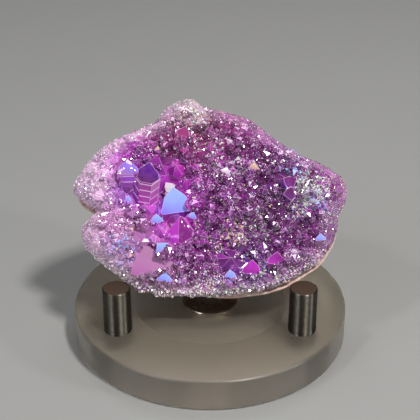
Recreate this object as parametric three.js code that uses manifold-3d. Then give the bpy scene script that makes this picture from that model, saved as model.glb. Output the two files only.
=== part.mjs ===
// Aura quartz geode: a chunk of amethyst geode with a metal-vapour coat, leaning back on a small stand.
// The stone is a lumpy shell of pale rock, the matrix, with one crust of quartz crystals grown over its face.
// The stand is a frosted acrylic disc with three dowel pins set in it and a round steel hub in its middle.
// The stone's lower edge rests on the two front pins and its domed back on the rear pin.
//
// Frame: millimetres, +Z up, the viewer's side is -Y, origin at the centre of the disc's underside.

import * as THREE from "three";
import { mergeVertices } from "three/addons/utils/BufferGeometryUtils.js";
import Module from "manifold-3d";

const wasm = await Module();
wasm.setup();

// Stand
const DISC_RADIUS = 31.75;
const DISC_THICKNESS = 7.5;
const DISC_CHAMFER = 0.5;
const DISC_SIDES = 60;
const PIN_RADIUS = 3.175;
const PIN_HEIGHT = 11.0; // above the disc's top
const PIN_BURIED = 6.2; // in the disc
const PIN_CHAMFER = 0.35;
const PIN_SIDES = 24;
const PIN_CIRCLE_RADIUS = 24.0;
const HUB_RADIUS = 6.5;
const HUB_DEPTH = 3.6;
const HUB_PROUD = 0.35;
const HUB_BORE_RADIUS = 2.15;
const HUB_BORE_DEPTH = 3.2;
const HUB_ROUND = 0.5;
const HUB_SIDES = 26;
const GAP = 0.3; // between pieces that touch

// Stone: its own axes are u to the right, v up along its face and w out of its face
const LEAN = THREE.MathUtils.degToRad(35);
const STONE_CENTRE = new THREE.Vector3(0.0, 1.8, DISC_THICKNESS + 26.35);
const LIP_HEIGHT = 3.0; // the rounded edge of the face, over the plane of the outline
const CRUST_THICKNESS = 3.2;
const CRUST_EDGE_THICKNESS = 2.2;
const SEAT_INSET = 0.9; // how far the matrix's seat stays inside the crust's outline
const BED_MARGIN = 6; // how far past the outline crystals are trimmed to the seat's level
const CRYSTAL_REACH = 0.5; // how far crystals may stand past the outline
const SEAT_GAP = 0.42; // measured along w, so that the slanting parts keep about the usual gap
const MATRIX_DEPTH = 23.65; // from the plane of the outline to the back
const MATRIX_INSET = 0.7;
const RIND_WIDTH = 1.5; // pale rock that shows past the crust's edge
const RIND_RISE = 2.3; // how far that rock swells towards the viewer
const FAR_OUT = 30; // a height over the whole stone, and its depth under it, for solids that cut it

// Rings of points from the middle of the face to its edge, as [share of the width, number of points]
const FACE_RINGS = [
  [0.1, 6], [0.2, 12], [0.31, 18], [0.42, 24], [0.53, 30],
  [0.64, 36], [0.75, 42], [0.85, 54], [0.92, 54], [0.97, 54],
];
const SEAT_RINGS = [[0.15, 6], [0.35, 18], [0.6, 30], [0.82, 42], [1, 54]];
const BACK_RINGS = [
  [1, 54], [0.99, 54], [0.965, 54], [0.925, 54], [0.87, 50], [0.8, 46], [0.72, 40], [0.63, 36], [0.53, 30],
  [0.42, 24], [0.31, 18], [0.2, 12], [0.1, 6],
];

// The stone's outline, counter-clockwise from its right tip, as [u, v]
const OUTLINE = [
  [30.9, 0.7], [30.9, 2.3], [29.8, 4.5], [27.3, 6.3], [24.6, 7.9], [21.2, 9.2], [18.3, 10.8], [15.1, 13.1],
  [12.0, 15.5], [9.7, 17.4], [7.0, 18.5], [3.6, 19.5], [0.2, 20.3], [-1.6, 20.8], [-2.9, 21.9], [-4.7, 22.6],
  [-7.4, 21.9], [-9.7, 20.8], [-11.1, 18.9], [-12.6, 17.1], [-15.1, 16.1], [-18.3, 14.7], [-21.7, 13.1],
  [-25.0, 10.8], [-27.5, 8.1], [-29.3, 5.4], [-30.7, 3.2], [-30.8, 0.9], [-30.0, -1.1], [-28.4, -2.5],
  [-26.4, -3.5], [-27.2, -4.5], [-28.6, -6.3], [-28.9, -8.6], [-28.2, -11.3], [-25.5, -14.0], [-22.1, -16.5],
  [-18.5, -19.25], [-15.1, -21.0], [-12.0, -21.9], [-9.2, -21.7], [-4.3, -22.4], [1.1, -23.0], [5.2, -23.1],
  [10.2, -22.3], [14.2, -21.7], [18.3, -20.1], [21.4, -18.0], [25.0, -15.8], [26.8, -13.3], [28.6, -10.6],
  [29.2, -7.7], [29.4, -4.3], [30.5, -1.6],
];

// Swells and hollows of the face, as [u, v, radius, height]
const RELIEF = [
  [-27.0, 1.5, 5.5, 2.6], // lip at the far left
  [-22.5, 9.0, 6.0, 1.4], // upper left shoulder
  [-23.0, -9.8, 6.5, 2.8], // cushion at the lower left
  [-6.0, 19.3, 4.2, 2.6], // knob on top
  [8.5, 13.0, 5.5, 1.6], // swell at the upper right
  [5.5, -3.5, 6.5, 1.8], // swell in the middle
  [25.3, -1.5, 5.6, 3.8], // knob at the right end
  [-9.5, 1.0, 8.5, -4.6], // hollow of the large crystals
  [-10.0, 12.0, 5.0, -1.6], // dark dip under the knob
  [16.0, 2.5, 4.6, -2.6], // valley beside the right knob
  [14.5, -9.0, 5.0, -1.8], // valley's lower end
  [-14.0, -14.5, 4.5, -1.4], // seat of the rose crystal
  [11.0, -17.0, 4.5, -1.0], // dip over the lower edge
];

// Hollows and swells of the back, as [u, v, radius, height towards the face]
const BACK_RELIEF = [
  [0.0, -17.0, 9.0, 4.5], // hollow over the hub
  [-18.0, -12.0, 7.0, 1.6],
  [18.0, -12.0, 7.0, 2.2],
  [15.0, 9.0, 8.0, -2.2], // broad shoulder at the upper right
  [-16.0, 8.0, 7.0, -1.4],
  [3.0, 13.0, 4.5, 1.8], // pit near the top
  [-5.0, 3.0, 4.0, 1.0],
];

// Large crystals, as [u and v of the tip, its rise over the face, radius, tilt from w, direction of the tilt,
// spin, share by which the three minor tip faces stand off, share of the radius left on the flattened side].
// Angles are in degrees. Direction 0 tilts the tip to the right and 90 up; spin 0 turns the flattened side to
// the viewer.
const CRYSTALS = [
  [-8.2, 1.6, 3.4, 5.2, 52, 98, 0, 0.12, 0.64], // the broad blue face
  [-6.4, -5.0, 3.7, 4.6, 30, 88, 30, 0.06, 0.87], // the magenta fan below it
  [-13.4, 6.9, 3.5, 3.4, 56, 80, 0, 0.3, 0.78], // deep violet, with a ribbed shaft
  [-18.4, 7.4, 2.2, 2.7, 50, 92, 0, 0.3, 0.68], // pink and violet face
  [-18.2, 4.2, 1.5, 2.0, 46, 74, 10, 0.2, 0.7],
  [-9.9, 3.2, 2.1, 1.8, 40, 120, 10, 0.1, 0.7], // white glint beside the blue face
  [-12.4, 0.4, 1.6, 1.7, 40, 60, 20, 0.1, 0.7],
  [-2.2, 0.2, 2.0, 2.4, 44, 62, 14, 0.2, 0.8],
  [-3.6, -3.8, 2.4, 1.5, 50, 66, 0, 0.2, 0.56], // narrow blue face
  [-12.0, -4.0, 1.8, 1.8, 50, 90, 10, 0.2, 0.7],
  [-14.6, -1.6, 1.4, 2.0, 38, 140, 24, 0.1, 0.8],
  [-18.2, -0.2, 1.3, 1.3, 50, 80, 0, 0.2, 0.66],
  [-17.6, -2.5, 1.5, 1.4, 50, 100, 0, 0.2, 0.66],
  [0.2, 2.4, 1.8, 2.1, 30, 20, 12, 0.1, 0.8],
  [-11.6, -10.8, 4.3, 2.1, 52, 132, 0, 0.3, 0.56], // blue kite
  [-14.1, -11.8, 2.2, 5.5, 52, 104, 0, 0.2, 0.6], // broad rose face
  [-9.8, -17.2, 1.5, 2.4, 48, 84, 0, 0.2, 0.5], // blue face near the lower edge
  [-5.2, -10.8, 2.0, 2.1, 50, 80, 0, 0.34, 0.74], // dark, with pale outlines
  [-1.6, -10.4, 1.8, 1.8, 26, 300, 35, 0.1, 0.8],
  [-3.0, -15.4, 1.6, 2.1, 46, 100, 0, 0.2, 0.6],
  [-5.4, 15.2, 1.3, 2.0, 46, 70, 0, 0.25, 0.7], // dark red face under the knob
  [-3.4, 12.6, 1.5, 1.6, 34, 330, 25, 0.1, 0.8],
  [-10.1, 13.8, 1.4, 1.6, 44, 120, 0, 0.2, 0.7],
  [-14.0, 12.8, 1.4, 1.5, 40, 80, 10, 0.1, 0.7],
  [7.6, 13.6, 1.4, 1.6, 44, 60, 0, 0.1, 0.7],
  [10.0, 7.2, 1.4, 1.6, 48, 80, 0, 0.3, 0.7], // gold glint
  [16.6, 3.6, 2.6, 2.3, 42, 150, 10, 0.2, 0.7], // violet wall beside the right knob
  [16.6, 0.2, 2.4, 2.0, 40, 190, 0, 0.2, 0.7],
  [4.4, -16.8, 1.2, 2.0, 46, 98, 0, 0.2, 0.5], // long blue face at the lower edge
  [9.2, -14.5, 1.8, 2.8, 44, 86, 0, 0.2, 0.66], // magenta block at the lower right
  [10.4, -11.4, 1.8, 1.8, 30, 110, 30, 0.1, 0.8],
  [14.8, -12.6, 2.2, 2.6, 46, 82, 0, 0.2, 0.66],
  [18.6, -12.4, 1.9, 2.2, 42, 66, 12, 0.1, 0.7],
  [24.4, -8.6, 1.1, 1.5, 44, 95, 0, 0.2, 0.6], // small blue triangle
  [18.8, 5.6, 1.2, 1.4, 46, 80, 0, 0.2, 0.7],
  [22.6, 6.0, 1.0, 1.3, 46, 100, 0, 0.2, 0.7],
];

// Small crystals: the spacing of their rows, how far each strays from its place, the range of their radii and
// of their rise as a share of the radius, their greatest tilt in degrees, how close they come to the large
// ones, and the share of the outline that they keep inside
const SMALL_SPACING = 3.75;
const SMALL_STRAY = 1.1;
const SMALL_LEAST = 1.5;
const SMALL_MOST = 2.6;
const SMALL_LEAST_RISE = 0.5;
const SMALL_MOST_RISE = 0.95;
const SMALL_TILT = 48;
const SMALL_CROWDING = 0.72;
const SMALL_MARGIN = 0.95;
const TIP_SLOPE = THREE.MathUtils.degToRad(51.8); // of quartz's tip faces, over the flat across the shaft
const ROOT = 2.0; // how far a crystal's shaft goes under the face
const TIP_UNEVEN = 0.16; // most that a large crystal's tip face stands off, as a share of its radius
const FLAT_SHARE = Math.cos(Math.PI / 6); // of the radius, from the axis of an even shaft to its faces

// Angles and radii of the outline, in rising order of angle
const OUTLINE_POLAR = OUTLINE.map(([u, v]) => ({
  angle: (Math.atan2(v, u) + 2 * Math.PI) % (2 * Math.PI),
  radius: Math.hypot(u, v),
})).sort((a, b) => a.angle - b.angle);

// Angle and radius of the outline's point with a whole number, which may run past the last point
function outlinePoint(index) {
  const count = OUTLINE_POLAR.length;
  const { angle, radius } = OUTLINE_POLAR[((index % count) + count) % count];
  return { angle: angle + 2 * Math.PI * Math.floor(index / count), radius };
}

// Radius of the outline at an angle, straight between its points
function outlineRadius(angle) {
  const at = ((angle % (2 * Math.PI)) + 2 * Math.PI) % (2 * Math.PI);
  const next = OUTLINE_POLAR.findIndex((point) => point.angle > at);
  const after = outlinePoint(next < 0 ? OUTLINE_POLAR.length : next);
  const before = outlinePoint((next < 0 ? OUTLINE_POLAR.length : next) - 1);
  const share = (at - before.angle) / (after.angle - before.angle);
  return before.radius + (after.radius - before.radius) * share;
}

// Angle at a share of the way round, so that a full ring has a point at each point of the outline
function angleAt(share) {
  const at = share * OUTLINE_POLAR.length;
  const before = outlinePoint(Math.floor(at));
  const after = outlinePoint(Math.floor(at) + 1);
  return before.angle + (after.angle - before.angle) * (at - Math.floor(at));
}

// 1 at the middle of a stretch of the outline, falling smoothly to 0 at its ends
function stretch(angle, middle, halfWidth) {
  let away = Math.abs(angle - THREE.MathUtils.degToRad(middle)) % (2 * Math.PI);
  away = Math.min(away, 2 * Math.PI - away) / THREE.MathUtils.degToRad(halfWidth);
  return away < 1 ? Math.pow(Math.cos((away * Math.PI) / 2), 0.7) : 0;
}

// How much of the pale rind shows past the crust: along the lower right edge and in the notch at the left
function rindShown(angle) {
  return Math.max(stretch(angle, 308, 48), stretch(angle, 184.5, 6));
}

function crustRadius(angle) {
  return outlineRadius(angle) - RIND_WIDTH * rindShown(angle);
}

function matrixRadius(angle) {
  return outlineRadius(angle) - MATRIX_INSET * (1 - rindShown(angle));
}

// Height of the broad form of the face at a point, where share is 0 at the centre and 1 on the crust's edge
function swell(u, v, share) {
  const lip = LIP_HEIGHT * Math.sqrt(Math.max(0, 1 - Math.pow(share, 8)));
  let sum = 0;
  for (const [cu, cv, radius, height] of RELIEF) {
    sum += height * Math.exp(-((u - cu) ** 2 + (v - cv) ** 2) / (radius * radius));
  }
  return lip + sum * (1 - Math.pow(share, 6));
}

// Lumps of a few millimetres over the broad form
function lumps(u, v) {
  return (
    0.45 * Math.sin(0.95 * u + 1.3) * Math.sin(1.05 * v - 0.4) +
    0.3 * Math.sin(1.9 * u - 0.8 * v + 2.1) * Math.sin(0.7 * u + 1.7 * v + 0.5)
  );
}

function shareAt(u, v) {
  return Math.hypot(u, v) / crustRadius(Math.atan2(v, u));
}

function faceHeight(u, v) {
  const share = Math.min(1, shareAt(u, v));
  return swell(u, v, share) + lumps(u, v) * (1 - Math.pow(share, 6));
}

// Direction that the face looks in at a point
function faceNormal(u, v) {
  const step = 0.6;
  const du = (faceHeight(u + step, v) - faceHeight(u - step, v)) / (2 * step);
  const dv = (faceHeight(u, v + step) - faceHeight(u, v - step)) / (2 * step);
  return new THREE.Vector3(-du, -dv, 1).normalize();
}

// A closed solid in the stone's axes from rings of points that start and end in a single point. Each ring is
// { count, at } where at gives its point for an angle.
function solidOfRings(rings) {
  const positions = [];
  const faces = [];
  const rows = rings.map(({ count, at }) =>
    Array.from({ length: count }, (_, i) => positions.push(...at(angleAt(i / count))) / 3 - 1),
  );
  for (let r = 0; r + 1 < rows.length; r += 1) {
    const inner = rows[r];
    const outer = rows[r + 1];
    const innerSteps = inner.length === 1 ? 0 : inner.length;
    const outerSteps = outer.length === 1 ? 0 : outer.length;
    let i = 0;
    let j = 0;
    while (i < innerSteps || j < outerSteps) {
      const a = inner[i % inner.length];
      const b = outer[j % outer.length];
      if (j < outerSteps && (i === innerSteps || (j + 1) / outerSteps <= (i + 1) / innerSteps)) {
        j += 1;
        faces.push(a, b, outer[j % outer.length]);
      } else {
        i += 1;
        faces.push(a, b, inner[i % inner.length]);
      }
    }
  }
  const mesh = new wasm.Mesh({
    numProp: 3,
    vertProperties: new Float32Array(positions),
    triVerts: new Uint32Array(faces),
  });
  return new wasm.Manifold(mesh);
}

const point = (u, v, w) => ({ count: 1, at: () => [u, v, w] });

// The surface that the crust sits on, lowered by a drop
function seatRing([share, count], drop) {
  const at = (angle) => {
    const radius = (crustRadius(angle) - SEAT_INSET) * share;
    const u = radius * Math.cos(angle);
    const v = radius * Math.sin(angle);
    const thickness = CRUST_THICKNESS + (CRUST_EDGE_THICKNESS - CRUST_THICKNESS) * share ** 4;
    return [u, v, swell(u, v, share) - thickness - drop];
  };
  return { count, at };
}

const seatCentre = (drop) => point(0, 0, swell(0, 0, 0) - CRUST_THICKNESS - drop);

function crustGround() {
  const faceRing = ([share, count]) => ({
    count,
    at: (angle) => {
      const u = crustRadius(angle) * share * Math.cos(angle);
      const v = crustRadius(angle) * share * Math.sin(angle);
      return [u, v, faceHeight(u, v)];
    },
  });
  const face = [...FACE_RINGS, [1, 54]].map(faceRing);
  return solidOfRings([point(0, 0, faceHeight(0, 0)), ...face, seatRing([1, 54], 0), point(0, 0, -20)]);
}

// Knobs and pits of the rough back
function backLumps(u, v) {
  let sum = 0;
  for (const [cu, cv, radius, height] of BACK_RELIEF) {
    sum += height * Math.exp(-((u - cu) ** 2 + (v - cv) ** 2) / (radius * radius));
  }
  const ledge = (x) => 1 - 2 * Math.abs(Math.sin(x));
  const knobs = Math.sin(1.1 * u + 0.3 * v + 0.3) * Math.sin(0.9 * v - 0.5 * u + 2.0);
  return sum + 1.0 * ledge(0.17 * u + 0.12 * v + 0.7) + 0.7 * ledge(0.3 * v - 0.19 * u + 1.7) + 0.55 * knobs;
}

// Height of the matrix's rim, which swells where its rind shows
const rimHeight = (angle) => -CRUST_EDGE_THICKNESS - SEAT_GAP + RIND_RISE * rindShown(angle);

function matrixSolid() {
  const backPoint = (angle, share) => {
    const u = matrixRadius(angle) * share * Math.cos(angle);
    const v = matrixRadius(angle) * share * Math.sin(angle);
    const rim = rimHeight(angle) * share ** 8 - (CRUST_EDGE_THICKNESS + SEAT_GAP) * (1 - share ** 8);
    const dome = (MATRIX_DEPTH - CRUST_EDGE_THICKNESS - SEAT_GAP) * Math.pow(1 - share ** 2, 0.62);
    return [u, v, rim - 0.3 - dome + backLumps(u, v) * (1 - share ** 8)];
  };
  const back = BACK_RINGS.map(([share, count]) => ({ count, at: (angle) => backPoint(angle, share) }));
  const seat = SEAT_RINGS.map((ring) => seatRing(ring, SEAT_GAP));
  return solidOfRings([seatCentre(SEAT_GAP), ...seat, ...back, point(...backPoint(0, 0))]);
}

// A turned shape from [radius, height] points that start and end on the axis, running up its outside
function turned(points, sides) {
  const profile = points.map(([radius, height]) => new THREE.Vector2(radius, height));
  return new THREE.LatheGeometry(profile, sides).rotateX(Math.PI / 2);
}

// A closed three.js geometry as a solid
function solidOf(geometry) {
  const plain = geometry.clone();
  plain.deleteAttribute("normal");
  plain.deleteAttribute("uv");
  const merged = mergeVertices(plain, 1e-4);
  return new wasm.Manifold(
    new wasm.Mesh({
      numProp: 3,
      vertProperties: merged.attributes.position.array,
      triVerts: new Uint32Array(merged.index.array),
    }),
  );
}

// A quartz crystal: a six-sided shaft cut to a tip by three broad and three minor faces. Its first side is
// flattened to the given share, and the others stand off by theirs.
function crystal({ u, v, rise, radius, axis, spin, minor = 0, flattened = FLAT_SHARE, uneven = () => 0 }) {
  const root = (ROOT + rise) / Math.max(0.5, axis.z) + radius * 0.4;
  let solid = solidOf(turned([[0, -root], [radius, -root], [radius, radius], [0, radius]], 6));
  for (let k = 0; k < 6; k += 1) {
    const around = ((k * 60 + 30) * Math.PI) / 180;
    const flat = Math.sin(TIP_SLOPE);
    const normal = [-flat * Math.cos(around), -flat * Math.sin(around), -Math.cos(TIP_SLOPE)];
    solid = solid.trimByPlane(normal, -radius * ((k % 2 ? minor : 0) + (k ? uneven(k) : 0)));
    if (k === 0) solid = solid.trimByPlane([-Math.cos(around), -Math.sin(around), 0], -flattened * radius);
  }
  const front = new THREE.Vector3(0, 0, 1).addScaledVector(axis, -axis.z).normalize();
  const side = new THREE.Vector3().crossVectors(axis, front);
  const turn = new THREE.Matrix4().makeBasis(front, side, axis);
  turn.multiply(new THREE.Matrix4().makeRotationZ(spin - Math.PI / 6));
  return solid.transform(turn.setPosition(u, v, faceHeight(u, v) + rise).elements);
}

function tiltedAxis(tilt, direction) {
  const t = THREE.MathUtils.degToRad(tilt);
  const d = THREE.MathUtils.degToRad(direction);
  return new THREE.Vector3(Math.sin(t) * Math.cos(d), Math.sin(t) * Math.sin(d), Math.cos(t));
}

// The same even scatter of numbers from 0 to 1 each time, for a pair of whole numbers
function scatter(index, column) {
  const x = Math.sin(index * 12.9898 + column * 78.233) * 43758.5453;
  return x - Math.floor(x);
}

// Small crystals side by side all over the face, clear of the large ones and smaller towards the edge
function smallCrystals() {
  const made = [];
  const large = CRYSTALS.map(([u, v, , radius, tilt, direction]) => {
    const back = radius * 0.8 * Math.sin(THREE.MathUtils.degToRad(tilt));
    const d = THREE.MathUtils.degToRad(direction);
    return [u - back * Math.cos(d), v - back * Math.sin(d), radius * SMALL_CROWDING];
  });
  for (let row = -9; row <= 9; row += 1) {
    for (let column = -10; column <= 10; column += 1) {
      const k = row * 31 + column + 500;
      const u = SMALL_SPACING * (column + (row % 2) / 2) + SMALL_STRAY * (scatter(k, 6) - 0.5) * 2;
      const v = SMALL_SPACING * 0.866 * row + SMALL_STRAY * (scatter(k, 7) - 0.5) * 2;
      const share = shareAt(u, v);
      if (share > SMALL_MARGIN || large.some(([lu, lv, lr]) => Math.hypot(u - lu, v - lv) < lr)) continue;
      const radius = SMALL_LEAST + (SMALL_MOST - SMALL_LEAST) * scatter(k, 1) * (1 - share ** 5);
      const lean = tiltedAxis(SMALL_TILT * scatter(k, 2), 360 * scatter(k, 3));
      const axis = faceNormal(u, v).add(lean).normalize();
      const spin = (Math.PI / 3) * scatter(k, 4);
      const rise = radius * (SMALL_LEAST_RISE + (SMALL_MOST_RISE - SMALL_LEAST_RISE) * scatter(k, 5));
      made.push(crystal({ u, v, rise, radius, axis, spin }));
    }
  }
  return made;
}

// A ring round the stone at a distance past its outline
function skirtRing(margin, height) {
  const at = (angle) => {
    const radius = outlineRadius(angle) + margin;
    return [radius * Math.cos(angle), radius * Math.sin(angle), height(angle)];
  };
  return { count: 54, at };
}

// Everything under the crust's seat, and under a level just over the matrix's rim outside it
function bedSolid() {
  const seat = SEAT_RINGS.map((ring) => seatRing(ring, 0));
  const level = (angle) => rimHeight(angle) + SEAT_GAP;
  const skirt = [skirtRing(0, level), skirtRing(BED_MARGIN, level), skirtRing(BED_MARGIN, () => -FAR_OUT)];
  return solidOfRings([seatCentre(0), ...seat, ...skirt, point(0, 0, -FAR_OUT)]);
}

// The column of space over the stone that crystals stay in
function reachSolid() {
  const sides = [FAR_OUT, -FAR_OUT].map((height) => skirtRing(CRYSTAL_REACH, () => height));
  return solidOfRings([point(0, 0, FAR_OUT), ...sides, point(0, 0, -FAR_OUT)]);
}

// The largest shell of a solid, which leaves out closed pockets between crystals
function outerSkin(solid) {
  return solid.decompose().reduce((most, piece) => (piece.volume() > most.volume() ? piece : most));
}

function crustSolid() {
  const large = CRYSTALS.map(([u, v, rise, radius, tilt, direction, turn, minor, flattened], number) => {
    const axis = tiltedAxis(tilt, direction);
    const spin = THREE.MathUtils.degToRad(turn);
    const uneven = (side) => TIP_UNEVEN * scatter(number, 10 + side);
    return crystal({ u, v, rise, radius, axis, spin, minor, flattened, uneven });
  });
  const crystals = wasm.Manifold.union([...large, ...smallCrystals()]).intersect(reachSolid());
  return outerSkin(crustGround().add(crystals).subtract(bedSolid()));
}

function geometryOf(solid) {
  const mesh = solid.getMesh();
  const geometry = new THREE.BufferGeometry();
  const stride = mesh.numProp;
  const positions = new Float32Array(mesh.numVert * 3);
  for (let i = 0; i < mesh.numVert; i += 1) {
    positions.set(mesh.vertProperties.subarray(i * stride, i * stride + 3), i * 3);
  }
  geometry.setAttribute("position", new THREE.BufferAttribute(positions, 3));
  geometry.setIndex(new THREE.BufferAttribute(new Uint32Array(mesh.triVerts), 1));
  geometry.computeVertexNormals();
  return geometry;
}

function pinPlace(index) {
  const angle = THREE.MathUtils.degToRad(90 + 120 * index);
  const reach = PIN_CIRCLE_RADIUS;
  return new THREE.Vector3(reach * Math.cos(angle), reach * Math.sin(angle), DISC_THICKNESS);
}

function pinGeometry() {
  return turned(
    [
      [0, -PIN_BURIED],
      [PIN_RADIUS - PIN_CHAMFER, -PIN_BURIED],
      [PIN_RADIUS, -PIN_BURIED + PIN_CHAMFER],
      [PIN_RADIUS, PIN_HEIGHT - PIN_CHAMFER],
      [PIN_RADIUS - PIN_CHAMFER, PIN_HEIGHT],
      [0, PIN_HEIGHT],
    ],
    PIN_SIDES,
  );
}

// The disc, with a blind hole for each pin and a pocket for the hub
function discGeometry() {
  const blank = turned(
    [
      [0, 0],
      [DISC_RADIUS - DISC_CHAMFER, 0],
      [DISC_RADIUS, DISC_CHAMFER],
      [DISC_RADIUS, DISC_THICKNESS - DISC_CHAMFER],
      [DISC_RADIUS - DISC_CHAMFER, DISC_THICKNESS],
      [0, DISC_THICKNESS],
    ],
    DISC_SIDES,
  );
  let solid = solidOf(blank);
  const over = 1;
  const cutter = (radius, depth, sides) =>
    turned([[0, -depth], [radius, -depth], [radius, over], [0, over]], sides);
  for (let i = 0; i < 3; i += 1) {
    const hole = cutter(PIN_RADIUS + GAP, PIN_BURIED + GAP, PIN_SIDES).translate(...pinPlace(i).toArray());
    solid = solid.subtract(solidOf(hole));
  }
  const pocket = cutter(HUB_RADIUS + GAP, HUB_DEPTH + GAP, HUB_SIDES).translate(0, 0, DISC_THICKNESS);
  return geometryOf(solid.subtract(solidOf(pocket)));
}

function hubGeometry() {
  const top = HUB_PROUD;
  return turned(
    [
      [0, -HUB_DEPTH],
      [HUB_RADIUS, -HUB_DEPTH],
      [HUB_RADIUS, top - HUB_ROUND],
      [HUB_RADIUS - HUB_ROUND * 0.3, top - HUB_ROUND * 0.3],
      [HUB_RADIUS - HUB_ROUND, top],
      [HUB_BORE_RADIUS + HUB_ROUND * 0.6, top],
      [HUB_BORE_RADIUS, top - HUB_ROUND * 0.6],
      [HUB_BORE_RADIUS, top - HUB_BORE_DEPTH],
      [0, top - HUB_BORE_DEPTH],
    ],
    HUB_SIDES,
  );
}

const acrylic = new THREE.MeshStandardMaterial({ color: 0x6e6a60, roughness: 0.35, metalness: 0 });
const steel = new THREE.MeshStandardMaterial({ color: 0x8d8a83, roughness: 0.3, metalness: 1 });
const nickel = new THREE.MeshStandardMaterial({ color: 0x9a938c, roughness: 0.22, metalness: 1 });
const rock = new THREE.MeshStandardMaterial({ color: 0xb59a92, roughness: 0.85, metalness: 0 });
const auraQuartz = new THREE.MeshStandardMaterial({ color: 0x9a4fa8, roughness: 0.18, metalness: 0.35 });

function named(name, geometry, material) {
  const mesh = new THREE.Mesh(geometry, material);
  mesh.name = name;
  return mesh;
}

const stand = new THREE.Group();
stand.add(named("display_disc", discGeometry(), acrylic));
["rear_pin", "front_left_pin", "front_right_pin"].forEach((name, index) => {
  const pin = named(name, pinGeometry(), steel);
  pin.position.copy(pinPlace(index));
  stand.add(pin);
});
const hub = named("centre_hub", hubGeometry(), nickel);
hub.position.z = DISC_THICKNESS;
stand.add(hub);

// The stone's axes in the part's frame: u along X, v up and back, w towards the viewer and up
const stone = new THREE.Group();
stone.add(named("matrix", geometryOf(matrixSolid()), rock));
stone.add(named("crystal_crust", geometryOf(crustSolid()), auraQuartz));
stone.rotation.x = Math.PI / 2 - LEAN;
stone.position.copy(STONE_CENTRE);

const geode = new THREE.Group();
geode.add(stand, stone);

export default geode;
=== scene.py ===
"""Looks of an aura quartz geode on its pin stand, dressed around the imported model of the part.

The stone's crystals face the viewer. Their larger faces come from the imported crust, and four layers of
smaller crystals grow on it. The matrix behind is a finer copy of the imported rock. The stand is turned anew.
"""

import math

import bmesh
import bpy
import numpy as np
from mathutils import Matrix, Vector, noise
from mathutils.bvhtree import BVHTree


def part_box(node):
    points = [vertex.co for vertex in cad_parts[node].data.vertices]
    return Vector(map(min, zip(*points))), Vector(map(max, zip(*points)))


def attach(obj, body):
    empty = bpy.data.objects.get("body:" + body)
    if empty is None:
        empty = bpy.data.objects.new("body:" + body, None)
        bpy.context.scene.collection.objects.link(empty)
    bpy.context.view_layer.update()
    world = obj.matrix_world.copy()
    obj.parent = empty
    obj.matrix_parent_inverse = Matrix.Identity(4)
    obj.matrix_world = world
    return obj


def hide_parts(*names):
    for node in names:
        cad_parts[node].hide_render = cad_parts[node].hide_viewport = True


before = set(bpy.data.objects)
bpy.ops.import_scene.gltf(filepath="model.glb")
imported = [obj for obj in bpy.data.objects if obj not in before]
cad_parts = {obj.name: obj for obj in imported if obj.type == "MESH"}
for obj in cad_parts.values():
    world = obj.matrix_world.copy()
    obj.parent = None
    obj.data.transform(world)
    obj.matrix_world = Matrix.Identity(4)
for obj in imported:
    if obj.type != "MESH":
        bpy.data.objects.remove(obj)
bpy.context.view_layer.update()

MM = 0.001

# The stand, in millimetres, as in the part's source
DISC_RADIUS = 31.75
DISC_THICKNESS = 7.5
PIN_RADIUS = 3.175
PIN_TOP = DISC_THICKNESS + 11.0
PIN_FOOT = 1.3
HUB_RADIUS = 6.5
HUB_TOP = DISC_THICKNESS + 0.35
HUB_DEPTH = 3.6
HUB_BORE_RADIUS = 2.15
HUB_BORE_DEPTH = 3.0
RING_MARK_RADIUS = 17.7
RING_MARK_DEPTH = 0.09
RING_MARK_HALF_WIDTH = 0.3
DISC_EASE = 0.7
METAL_INSET = 0.02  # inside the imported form
LATHE_MARK = 0.035
RAGGED_BAND = (0.9, 1.1, 0.1)  # a pin's rough band: its height over the disc, its spread and its depth

# The stone's own axes: u to the right, v up along its face, w out of its face
LEAN = math.radians(35)
STONE_CENTRE = np.array([0.0, 1.8, DISC_THICKNESS + 26.35])
U_AXIS = np.array([1.0, 0.0, 0.0])
V_AXIS = np.array([0.0, math.sin(LEAN), math.cos(LEAN)])
W_AXIS = np.array([0.0, -math.cos(LEAN), math.sin(LEAN)])

# The camera stands where the photo was taken from
CAMERA_PLACE = (0.0, -225.2, 156.4)
CAMERA_PITCH = math.radians(29)
FOCAL_WIDTHS = 1143 / 420  # focal length over the picture's width
SENSOR_MM = 36.0


def linear(red, green, blue):
    """A colour given as 0 to 255 on screen, as the linear values that shaders take."""
    return tuple(
        c / 255 / 12.92 if c <= 10 else ((c / 255 + 0.055) / 1.055) ** 2.4
        for c in (red, green, blue)
    )


# Colours of the coated quartz, and of the glints and shade painted on it
PLUM = linear(136, 26, 134)
DARK_PLUM = linear(76, 20, 76)
MAGENTA = linear(186, 44, 190)
VIOLET = linear(140, 52, 204)
DEEP_VIOLET = linear(84, 20, 140)
ROSE = linear(182, 130, 174)
RED_PLUM = linear(150, 50, 110)
DUSKY_ROSE = linear(154, 42, 116)
PALE_LAVENDER = linear(218, 186, 210)
SHELL_PINK = linear(210, 192, 192)
MAUVE = linear(172, 98, 164)
DARK_MAGENTA = linear(128, 30, 128)
SILVER_GREEN = linear(206, 222, 200)
ICE_BLUE = linear(150, 184, 255)
BLUE_VIOLET = linear(128, 110, 240)
# Painted shade: faces painted nearly black
PAINTED_SHADE = linear(38, 22, 54)
GOLD = linear(232, 206, 164)
WHITE = linear(240, 232, 244)
VEIL = linear(170, 100, 160)
# Partly painted highlight: the pale colour of the shafts' real growth lines
GROWTH_LINE_HIGHLIGHT = linear(232, 184, 240)
# Painted highlight for the rims of facets
PAINTED_EDGE_HIGHLIGHT = linear(240, 200, 240)

# Rock, as stops of grain and colour: fresh by the crust, weathered over these depths in millimetres
FRESH_ROCK = [(0.2, linear(196, 162, 154)), (0.5, linear(206, 178, 168)), (0.8, linear(206, 188, 176))]
WEATHERED_ROCK = [(0.15, linear(128, 98, 84)), (0.45, linear(168, 132, 116)), (0.75, linear(190, 164, 142))]
WEATHERED_DEPTHS = (3, 15)
STAIN = linear(120, 84, 72)

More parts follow.
